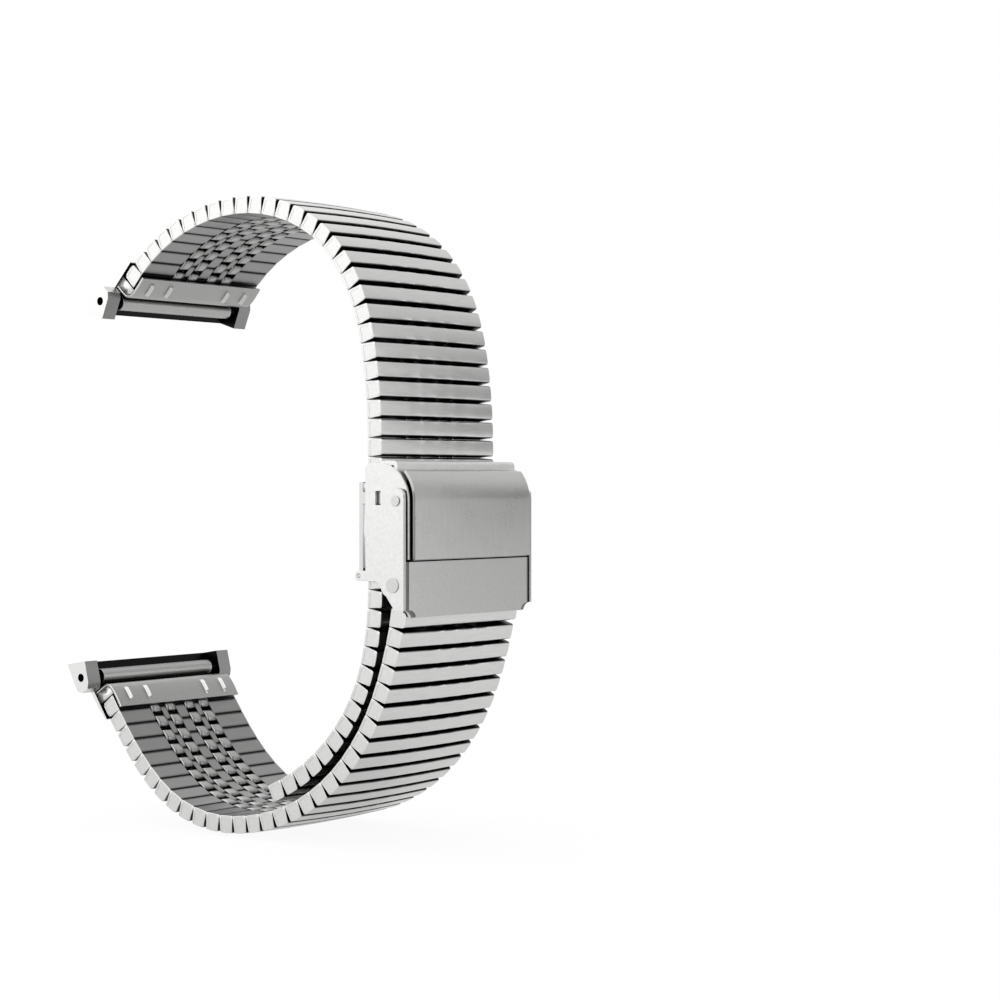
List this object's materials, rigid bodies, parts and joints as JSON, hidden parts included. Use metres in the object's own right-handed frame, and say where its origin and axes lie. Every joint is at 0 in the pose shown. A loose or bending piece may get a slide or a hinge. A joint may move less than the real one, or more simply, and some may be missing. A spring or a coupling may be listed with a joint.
{
  "type": "watch link bracelet",
  "caption": "Closed bracelet for a watch, woven from folded sheet links, with a fold-over clasp, a free tail inside the loop and two spring-bar lug ends.",
  "frame": {"origin": "centre of the upper lug end's spring-bar bore, halfway across the band", "axes": "+Y across the band along the spring-bar bores, +Z from the lower lug end towards the upper one, +X from the lug ends towards the clasp"},
  "size_m": [0.0471, 0.022, 0.0658],
  "materials": {
    "link_steel": "fine brushing across the band",
    "clasp_steel": "satin with polished edges",
    "cover_steel": "brushed along the band, polished rim",
    "plate_steel": "matt rolled sheet",
    "lug_steel": "brushed outer face, satin sides",
    "pin_steel": "turned and polished"
  },
  "bodies": {
    "clasp": {"clasp_body": "clasp_steel", "cover_plate": "cover_steel", "strap_guide": "plate_steel", "locked_links": "link_steel", "lever_pivots": "pin_steel"},
    "lock_plate": {"lock_plate": "plate_steel"},
    "fold_lever": {"fold_lever": "clasp_steel", "strap_bar": "pin_steel"},
    "strap_end_link": {"strap_end_link": "link_steel"},
    "upper_links_1": {"upper_links_1": "link_steel"},
    "upper_links_2": {"upper_links_2": "link_steel"},
    "upper_links_3": {"upper_links_3": "link_steel"},
    "upper_links_4": {"upper_links_4": "link_steel"},
    "upper_links_5": {"upper_links_5": "link_steel"},
    "upper_links_6": {"upper_links_6": "link_steel"},
    "upper_links_7": {"upper_links_7": "link_steel"},
    "upper_links_8": {"upper_links_8": "link_steel"},
    "upper_links_9": {"upper_links_9": "link_steel"},
    "upper_links_10": {"upper_links_10": "link_steel"},
    "upper_links_11": {"upper_links_11": "link_steel"},
    "upper_links_12": {"upper_links_12": "link_steel"},
    "upper_links_13": {"upper_links_13": "link_steel"},
    "upper_links_14": {"upper_links_14": "link_steel"},
    "upper_lug_end": {"upper_end_shell": "lug_steel", "upper_clamp_plate": "plate_steel", "upper_bar_tube": "pin_steel", "upper_anchor_link": "link_steel"},
    "lower_links_1": {"lower_links_1": "link_steel"},
    "lower_links_2": {"lower_links_2": "link_steel"},
    "lower_links_3": {"lower_links_3": "link_steel"},
    "lower_links_4": {"lower_links_4": "link_steel"},
    "lower_links_5": {"lower_links_5": "link_steel"},
    "lower_links_6": {"lower_links_6": "link_steel"},
    "lower_links_7": {"lower_links_7": "link_steel"},
    "lower_links_8": {"lower_links_8": "link_steel"},
    "lower_links_9": {"lower_links_9": "link_steel"},
    "lower_links_10": {"lower_links_10": "link_steel"},
    "lower_links_11": {"lower_links_11": "link_steel"},
    "lower_links_12": {"lower_links_12": "link_steel"},
    "lower_links_13": {"lower_links_13": "link_steel"},
    "lower_links_14": {"lower_links_14": "link_steel"},
    "lower_lug_end": {"lower_end_shell": "lug_steel", "lower_clamp_plate": "plate_steel", "lower_bar_tube": "pin_steel", "lower_anchor_link": "link_steel"},
    "tail_links_1": {"tail_links_1": "link_steel"},
    "tail_links_2": {"tail_links_2": "link_steel"},
    "tail_links_3": {"tail_links_3": "link_steel"},
    "tail_links_4": {"tail_links_4": "link_steel"},
    "tail_links_5": {"tail_links_5": "link_steel"},
    "tail_links_6": {"tail_links_6": "link_steel"},
    "tail_links_7": {"tail_links_7": "link_steel"}
  },
  "joints": [
    {"name": "lock_plate_hinge", "type": "hinge", "parent": "clasp", "child": "lock_plate", "pos_m": [0.03511, 0, -0.02843], "axis": [0, -1, 0], "range_deg": [0, 60]},
    {"name": "fold_lever_hinge", "type": "hinge", "parent": "clasp", "child": "fold_lever", "pos_m": [0.04031, 0, -0.02108], "axis": [0, -1, 0], "range_deg": [0, 150]},
    {"name": "strap_bar_hinge", "type": "hinge", "parent": "fold_lever", "child": "strap_end_link", "pos_m": [0.03993, 0, -0.02925], "axis": [0, 1, 0], "range_deg": [-4, 0]},
    {"name": "upper_bend_1", "type": "hinge", "parent": "clasp", "child": "upper_links_1", "pos_m": [0.03563, 0, -0.01675], "axis": [0, 1, 0], "range_deg": [-13.4, 6.6]},
    {"name": "upper_bend_2", "type": "hinge", "parent": "upper_links_1", "child": "upper_links_2", "pos_m": [0.03556, 0, -0.01304], "axis": [0, 1, 0], "range_deg": [-12.2, 7.8]},
    {"name": "upper_bend_3", "type": "hinge", "parent": "upper_links_2", "child": "upper_links_3", "pos_m": [0.03526, 0, -0.00933], "axis": [0, 1, 0], "range_deg": [-11.9, 8.1]},
    {"name": "upper_bend_4", "type": "hinge", "parent": "upper_links_3", "child": "upper_links_4", "pos_m": [0.0347, 0, -0.00565], "axis": [0, 1, 0], "range_deg": [-10.7, 9.3]},
    {"name": "upper_bend_5", "type": "hinge", "parent": "upper_links_4", "child": "upper_links_5", "pos_m": [0.03372, 0, -0.00207], "axis": [0, 1, 0], "range_deg": [-8.5, 11.5]},
    {"name": "upper_bend_6", "type": "hinge", "parent": "upper_links_5", "child": "upper_links_6", "pos_m": [0.03208, 0, 0.00127], "axis": [0, 1, 0], "range_deg": [-7.2, 12.8]},
    {"name": "upper_bend_7", "type": "hinge", "parent": "upper_links_6", "child": "upper_links_7", "pos_m": [0.02972, 0, 0.00413], "axis": [0, 1, 0], "range_deg": [-6, 14]},
    {"name": "upper_bend_8", "type": "hinge", "parent": "upper_links_7", "child": "upper_links_8", "pos_m": [0.02668, 0, 0.00626], "axis": [0, 1, 0], "range_deg": [-7.1, 12.9]},
    {"name": "upper_bend_9", "type": "hinge", "parent": "upper_links_8", "child": "upper_links_9", "pos_m": [0.02322, 0, 0.00761], "axis": [0, 1, 0], "range_deg": [-8.2, 11.8]},
    {"name": "upper_bend_10", "type": "hinge", "parent": "upper_links_9", "child": "upper_links_10", "pos_m": [0.01955, 0, 0.00822], "axis": [0, 1, 0], "range_deg": [-8.6, 11.4]},
    {"name": "upper_bend_11", "type": "hinge", "parent": "upper_links_10", "child": "upper_links_11", "pos_m": [0.01584, 0, 0.00812], "axis": [0, 1, 0], "range_deg": [-8.9, 11.1]},
    {"name": "upper_bend_12", "type": "hinge", "parent": "upper_links_11", "child": "upper_links_12", "pos_m": [0.01219, 0, 0.00738], "axis": [0, 1, 0], "range_deg": [-8.9, 11.1]},
    {"name": "upper_bend_13", "type": "hinge", "parent": "upper_links_12", "child": "upper_links_13", "pos_m": [0.00874, 0, 0.006], "axis": [0, 1, 0], "range_deg": [-8.6, 11.4]},
    {"name": "upper_bend_14", "type": "hinge", "parent": "upper_links_13", "child": "upper_links_14", "pos_m": [0.00562, 0, 0.004], "axis": [0, 1, 0], "range_deg": [-8.2, 11.8]},
    {"name": "upper_end_bend", "type": "hinge", "parent": "upper_links_14", "child": "upper_lug_end", "pos_m": [0.00422, 0, 0.00277], "axis": [0, 1, 0], "range_deg": [-8.2, 11.8]},
    {"name": "lower_bend_1", "type": "hinge", "parent": "strap_end_link", "child": "lower_links_1", "pos_m": [0.03834, 0, -0.03334], "axis": [0, 1, 0], "range_deg": [-9.8, 0]},
    {"name": "lower_bend_2", "type": "hinge", "parent": "lower_links_1", "child": "lower_links_2", "pos_m": [0.03738, 0, -0.03693], "axis": [0, 1, 0], "range_deg": [-8.7, 0]},
    {"name": "lower_bend_3", "type": "hinge", "parent": "lower_links_2", "child": "lower_links_3", "pos_m": [0.03609, 0, -0.04042], "axis": [0, 1, 0], "range_deg": [-9.8, 0]},
    {"name": "lower_bend_4", "type": "hinge", "parent": "lower_links_3", "child": "lower_links_4", "pos_m": [0.03435, 0, -0.04371], "axis": [0, 1, 0], "range_deg": [-10.8, 0]},
    {"name": "lower_bend_5", "type": "hinge", "parent": "lower_links_4", "child": "lower_links_5", "pos_m": [0.0321, 0, -0.04667], "axis": [0, 1, 0], "range_deg": [-11, 0]},
    {"name": "lower_bend_6", "type": "hinge", "parent": "lower_links_5", "child": "lower_links_6", "pos_m": [0.02938, 0, -0.04919], "axis": [0, 1, 0], "range_deg": [-11.1, 0]},
    {"name": "lower_bend_7", "type": "hinge", "parent": "lower_links_6", "child": "lower_links_7", "pos_m": [0.02625, 0, -0.05119], "axis": [0, 1, 0], "range_deg": [-11.1, 0]},
    {"name": "lower_bend_8", "type": "hinge", "parent": "lower_links_7", "child": "lower_links_8", "pos_m": [0.02281, 0, -0.05262], "axis": [0, 1, 0], "range_deg": [-10.8, 9.2]},
    {"name": "lower_bend_9", "type": "hinge", "parent": "lower_links_8", "child": "lower_links_9", "pos_m": [0.01919, 0, -0.05345], "axis": [0, 1, 0], "range_deg": [-10.5, 9.5]},
    {"name": "lower_bend_10", "type": "hinge", "parent": "lower_links_9", "child": "lower_links_10", "pos_m": [0.01548, 0, -0.05367], "axis": [0, 1, 0], "range_deg": [-12, 8]},
    {"name": "lower_bend_11", "type": "hinge", "parent": "lower_links_10", "child": "lower_links_11", "pos_m": [0.01181, 0, -0.05312], "axis": [0, 1, 0], "range_deg": [-13.5, 6.5]},
    {"name": "lower_bend_12", "type": "hinge", "parent": "lower_links_11", "child": "lower_links_12", "pos_m": [0.0084, 0, -0.05165], "axis": [0, 1, 0], "range_deg": [-13.1, 6.9]},
    {"name": "lower_bend_13", "type": "hinge", "parent": "lower_links_12", "child": "lower_links_13", "pos_m": [0.00546, 0, -0.04938], "axis": [0, 1, 0], "range_deg": [-11, 9]},
    {"name": "lower_bend_14", "type": "hinge", "parent": "lower_links_13", "child": "lower_links_14", "pos_m": [0.00295, 0, -0.04664], "axis": [0, 1, 0], "range_deg": [-8.8, 11.2]},
    {"name": "lower_end_bend", "type": "hinge", "parent": "lower_links_14", "child": "lower_lug_end", "pos_m": [0.00072, 0, -0.04367], "axis": [0, 1, 0], "range_deg": [-7.7, 12.3]},
    {"name": "tail_bend_1", "type": "hinge", "parent": "clasp", "child": "tail_links_1", "pos_m": [0.03563, 0, -0.02977], "axis": [0, 1, 0], "range_deg": [0, 11.6]},
    {"name": "tail_bend_2", "type": "hinge", "parent": "tail_links_1", "child": "tail_links_2", "pos_m": [0.03538, 0, -0.03349], "axis": [0, 1, 0], "range_deg": [0, 10.5]},
    {"name": "tail_bend_3", "type": "hinge", "parent": "tail_links_2", "child": "tail_links_3", "pos_m": [0.03467, 0, -0.03713], "axis": [0, 1, 0], "range_deg": [0, 8.7]},
    {"name": "tail_bend_4", "type": "hinge", "parent": "tail_links_3", "child": "tail_links_4", "pos_m": [0.0333, 0, -0.04059], "axis": [0, 1, 0], "range_deg": [0, 8]},
    {"name": "tail_bend_5", "type": "hinge", "parent": "tail_links_4", "child": "tail_links_5", "pos_m": [0.03124, 0, -0.04368], "axis": [0, 1, 0], "range_deg": [0, 8.6]},
    {"name": "tail_bend_6", "type": "hinge", "parent": "tail_links_5", "child": "tail_links_6", "pos_m": [0.02864, 0, -0.04634], "axis": [0, 1, 0], "range_deg": [0, 9]},
    {"name": "tail_bend_7", "type": "hinge", "parent": "tail_links_6", "child": "tail_links_7", "pos_m": [0.02561, 0, -0.04849], "axis": [0, 1, 0], "range_deg": [0, 9.2]}
  ]
}
